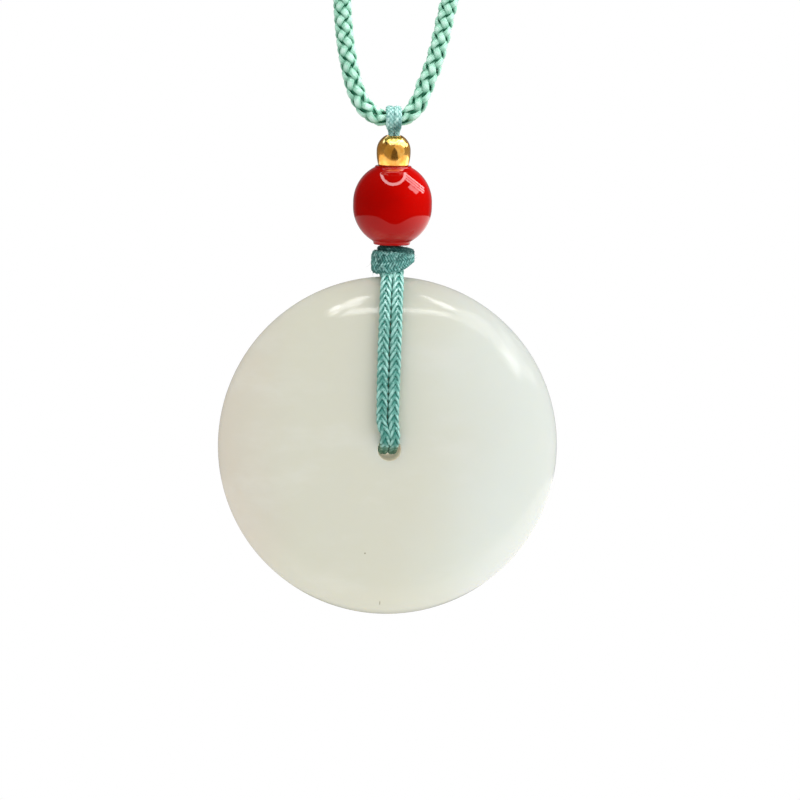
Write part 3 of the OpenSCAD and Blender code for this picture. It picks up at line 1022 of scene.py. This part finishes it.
def makeWorld():
    world = bpy.data.worlds.new("studio")
    bpy.context.scene.world = world
    world.use_nodes = True
    world.cycles.sampling_method = "NONE"
    tree = world.node_tree
    tree.nodes.clear()
    mirrored, way = mirrorPicture(tree, mirrorLook)
    path = addNode(tree, "ShaderNodeLightPath")
    facing = vectorCalc(tree, "DOT_PRODUCT", way, fillLook["way"])
    share = calc(tree, "ADD", calc(tree, "MULTIPLY", facing, 0.5), 0.5, clamp=True)
    fill = blendColour(tree, share, fillLook["dim"] + (1,), fillLook["bright"] + (1,))
    seen = blendColour(tree, path.outputs["Is Glossy Ray"], fill, mirrored)
    seen = blendColour(tree, path.outputs["Is Camera Ray"], seen, (1, 1, 1, 1))
    background = addNode(tree, "ShaderNodeBackground")
    plug(tree, background.inputs["Color"], seen)
    plug(tree, addNode(tree, "ShaderNodeOutputWorld").inputs[0], background.outputs[0])


def mirroredWay(normal, toCamera):
    return normal * (2 * normal.dot(toCamera)) - toCamera


def fromBall(x, y):
    # The place of a lamp that is mirrored at a place of the beads
    right, up, back = cameraAxes(view)
    normal = right * x + up * y + back * math.sqrt(1 - x * x - y * y)
    return boxMiddle("red_bead") + mirroredWay(normal, back) * mirrorReach


def fromDisc(share, turn):
    # The place of a lamp that is mirrored on the disc, at a share of its radius and clockwise from its top
    face, rim = discLook["facePower"], discLook["rimPower"]
    slope = discLook["halfThick"] / discLook["radius"] * face / rim * share ** (face - 1)
    slope *= (1 - share ** face) ** (1 / rim - 1)
    turn = math.radians(turn)
    normal = Vector((slope * math.sin(turn), -1, slope * math.cos(turn))).normalized()
    r = share * discLook["radius"]
    place = Vector(discAt) + Vector((r * math.sin(turn), -faceOut(discLook, share), r * math.cos(turn)))
    toCamera = (bpy.context.scene.camera.matrix_world.translation - place).normalized()
    return place + mirroredWay(normal, toCamera) * mirrorReach


def glowPanel(name, pairs, light, receivers):
    # A lamp in the form of a strip between two lines of points, that lights only the given pieces
    points = [tuple(point) for pair in pairs for point in pair]
    faces = [(2 * i, 2 * i + 1, 2 * i + 3, 2 * i + 2) for i in range(len(pairs) - 1)]
    panel = makeMesh(name, points, faces)
    panel.data.materials.append(glowFinish(name, light))
    panel.visible_camera = False
    panel.visible_shadow = False
    panel.light_linking.receiver_collection = receivers


def areaLamp(name, centre, offset, size, light, colour=(1, 1, 1), receivers=None, turned=None):
    # A flat lamp that faces the centre. light is how bright its face is
    data = bpy.data.lights.new(name, "AREA")
    data.shape = "RECTANGLE"
    data.size, data.size_y = size
    data.energy = 4 * size[0] * size[1] * light
    data.color = colour
    lamp = bpy.data.objects.new(name, data)
    turned = turned or (-offset).to_track_quat("-Z", "Y").to_matrix()
    lamp.matrix_world = Matrix.Translation(centre + offset) @ turned.to_4x4()
    lamp.visible_camera = False
    if receivers:
        lamp.light_linking.receiver_collection = receivers
    bpy.context.scene.collection.objects.link(lamp)
    return lamp


def quadLamp(name, one, other, light, receivers):
    # A flat lamp between two pairs of points, each an upper and a lower one
    middle = (one[0] + one[1] + other[0] + other[1]) / 4
    along = (other[0] + other[1] - one[0] - one[1]) / 2
    across = (one[0] + other[0] - one[1] - other[1]) / 2
    across -= along * (across.dot(along) / along.length_squared)
    size = (along.length, across.length)
    x, y = along.normalized(), across.normalized()
    z = x.cross(y)
    if z.dot(middle - Vector(discAt)) < 0:
        x, z = -x, -z
    facing = Matrix((x, y, z)).transposed()
    lamp = areaLamp(name, middle, Vector(), size, light, receivers=receivers, turned=facing)
    lamp.visible_diffuse = False
    lamp.visible_transmission = False


def receiverGroup(name, pieces):
    group = bpy.data.collections.new(name)
    for piece in pieces:
        group.objects.link(bpy.data.objects[piece])
    return group


# The ring lamp: its lower part, and a thin line that closes it
ringLook = {
    "middle": (0.02, 0.7), "size": (0.29, 0.265), "line": 0.07, "from": 172, "to": 368, "steps": 25,
    "light": 7.5, "closeY": 0.73, "closeLine": 0.012, "closeSteps": 5, "closeLight": 3.0,
}
# The window: each slat and the pane, from and to along it, from and to across it, its steps and brightness
windowLook = {
    "corner": (0.32, 0.72), "along": (0.794, -0.608), "across": (-0.608, -0.794),
    "parts": [
        ("windowSlat1", 0.0, 0.6, -0.01, 0.022, 7, 8.5),
        ("windowSlat2", 0.0, 0.64, 0.045, 0.075, 7, 8.5),
        ("windowSlat3", 0.02, 0.66, 0.098, 0.128, 7, 8.5),
        ("windowPane", 0.27, 0.55, 0.15, 0.25, 3, 5.0),
    ],
}
# On the disc: brightness, and pairs of outer and inner places, each a share of the radius and degrees
# from the top
discGlints = [
    ("discRingLeft", 4.0, [
        ((0.882, -24.4), (0.862, -24.0)), ((0.900, -20), (0.836, -21)),
        ((0.912, -16), (0.850, -16.5)), ((0.910, -10), (0.901, -10.5))]),
    ("discRingLow", 3.2, [
        ((0.862, -19), (0.822, -18)), ((0.838, -9), (0.806, -9.5)), ((0.830, 0), (0.803, 0)),
        ((0.836, 9), (0.812, 9.3)), ((0.857, 17.8), (0.835, 18.3)), ((0.877, 23.6), (0.852, 24.3))]),
    ("discRingRight", 4.5, [
        ((0.923, 11.6), (0.915, 12)), ((0.916, 17), (0.896, 17.6)), ((0.912, 23), (0.877, 24))]),
    ("discWindow", 1.1, [
        ((0.908, 23), (0.862, 24)), ((0.935, 34), (0.845, 37)), ((0.962, 44), (0.842, 46)),
        ((0.962, 54), (0.855, 55)), ((0.948, 63), (0.873, 64))]),
]
# The gold bead's own surroundings: degrees round to the right of the camera, degrees up and roll of a panel
# that faces the bead, then its width and height, brightness and colour
goldTable = {"y": 0.05, "z": -0.3, "size": (4.0, 1.5), "light": 0.88, "colour": (1.0, 0.95, 1.1)}
goldPanels = [
    ("goldLeftFront", -31, 12, 24, (0.42, 0.56), 0.25, (1.0, 0.8, 0.45)),
    ("goldLeftSide", -100, 8, 0, (0.6, 0.42), 0.17, (1.0, 0.85, 0.7)),
    ("goldRightFront", 46, 12, -24, (0.42, 0.56), 0.6, (1.0, 0.97, 1.0)),
    ("goldRightSide", 112, 8, 0, (0.55, 0.4), 0.2, (1.0, 0.95, 0.85)),
    ("goldRightLow", 122, -24, 0, (0.2, 0.12), 1.6, (1.0, 1.0, 1.0)),
    ("goldFront", 6, 0, 0, (0.24, 0.36), 0.06, (1.0, 0.7, 0.3)),
    ("goldLineFarLeft", -128, 38, 8, (0.36, 0.08), 1.6, (0.8, 1.15, 2.2)),
    ("goldLineLeft", -66, 49, 8, (0.5, 0.05), 1.8, (0.8, 1.15, 2.2)),
    ("goldLineMiddle", 12, 43, 0, (0.3, 0.035), 1.8, (0.8, 1.15, 2.2)),
    ("goldLineRight", 76, 47, -8, (0.36, 0.08), 2.2, (0.8, 1.15, 2.2)),
    ("goldCeilingLeft", -80, 70, 0, (0.5, 0.25), 0.7, (0.9, 1.1, 1.8)),
    ("goldCeiling", 180, 80, 0, (0.3, 0.3), 0.12, (1.0, 1.0, 1.0)),
    ("goldCeilingRight", 70, 70, 0, (0.4, 0.25), 0.9, (0.9, 1.1, 1.8)),
    ("goldWindow", 121, 44, -30, (0.2, 0.16), 2.2, (0.8, 1.15, 2.2)),
]
# Lamps that make cords shine: place from the knot, width and height, brightness and colour
cordLamps = [("shineLamp", (0.176, -0.66, 1.21), (0.66, 0.66), 9.0, (0.95, 1.0, 1.0))]
legLamps = [("legLamp", (0.05, -0.32, 0.5), (0.2, 0.2), 34.0, (0.93, 1.0, 1.0))]
# Soft lamps for all pieces, in the same way but from the middle of the disc
softLamps = [
    ("keyLamp", (0.4, -0.42, 0.35), (0.3, 0.3), 1.2, (1.0, 1.0, 0.99)),
    ("sideLamp", (0.4, -0.12, 0.05), (0.18, 0.18), 0.5, (0.92, 0.97, 1.0)),
]


def makeRingLamp(look, receivers):
    (middleX, middleY), (wide, high) = look["middle"], look["size"]

    def place(turn, side):
        out = side * look["line"] / 2
        return fromBall(middleX + (wide + out) * math.cos(turn), middleY + (high + out) * math.sin(turn))

    turns = np.radians(np.linspace(look["from"], look["to"], look["steps"]))
    glowPanel("ringLamp", [(place(turn, -1), place(turn, 1)) for turn in turns], look["light"], receivers)
    reach = wide - look["line"]
    low, top = look["closeY"], look["closeY"] + look["closeLine"]
    across = middleX + np.linspace(-reach, reach, look["closeSteps"])
    line = [(fromBall(x, low), fromBall(x, top)) for x in across]
    glowPanel("ringTop", line, look["closeLight"], receivers)


def makeWindow(look, receivers):
    def place(a, b):
        return fromBall(*(look["corner"][i] + a * look["along"][i] + b * look["across"][i] for i in (0, 1)))

    for name, start, end, near, far, steps, light in look["parts"]:
        pairs = [(place(a, near), place(a, far)) for a in np.linspace(start, end, steps)]
        glowPanel(name, pairs, light, receivers)


def makeDiscGlints(glints, receivers):
    for name, light, outline in glints:
        places = [(fromDisc(*outer), fromDisc(*inner)) for outer, inner in outline]
        for number, (one, other) in enumerate(zip(places, places[1:]), 1):
            quadLamp(f"{name}{number}", one, other, light, receivers)


def panelTurn(back, roll):
    # Faces against back, with its width level before the roll
    side = back.cross(Vector((0, 0, 1))).normalized()
    up = side.cross(back)
    roll = math.radians(roll)
    x = side * math.cos(roll) + up * math.sin(roll)
    return Matrix((x, back.cross(x), back)).transposed()


def makeGoldPanels(table, panels, receivers):
    middle = boxMiddle("gold_bead")
    areaLamp("goldTable", middle, Vector((0, table["y"], table["z"])), table["size"], table["light"],
             table["colour"], receivers, Matrix.Rotation(math.pi, 3, "X"))
    for name, turn, height, roll, size, light, colour in panels:
        back = wayTo(turn + view["turn"], height + view["height"])
        areaLamp(name, middle, back * goldReach, size, light, colour, receivers, panelTurn(back, roll))


def makeLamps():
    pieces = [piece.name for piece in bpy.context.scene.objects if piece.type == "MESH"]
    pieces = [name for name in pieces if name not in ("jadeDisc", "floor")]
    disc = receiverGroup("discOnly", ["jadeDisc"])
    gold = receiverGroup("goldOnly", ["goldBead"])
    rest = receiverGroup("allButDisc", pieces)
    makeRingLamp(ringLook, rest)
    makeWindow(windowLook, rest)
    makeDiscGlints(discGlints, disc)
    makeGoldPanels(goldTable, goldPanels, gold)
    cords = receiverGroup("cordsOnly", [name for name in pieces if name not in ("redBead", "goldBead")])
    legs = receiverGroup("legsOnly", ["leftLeg", "rightLeg"])
    knot = boxMiddle("knot")
    for lamps, receivers in ((cordLamps, cords), (legLamps, legs)):
        for name, place, size, light, colour in lamps:
            areaLamp(name, knot, Vector(place), size, light, colour, receivers).visible_diffuse = False
    for name, place, size, light, colour in softLamps:
        areaLamp(name, Vector(discAt), Vector(place), size, light, colour).visible_glossy = False


makeFloor(stageLook)
makeWorld()
makeLamps()
bpy.context.scene.view_settings.view_transform = "Standard"
print("stage and light set")
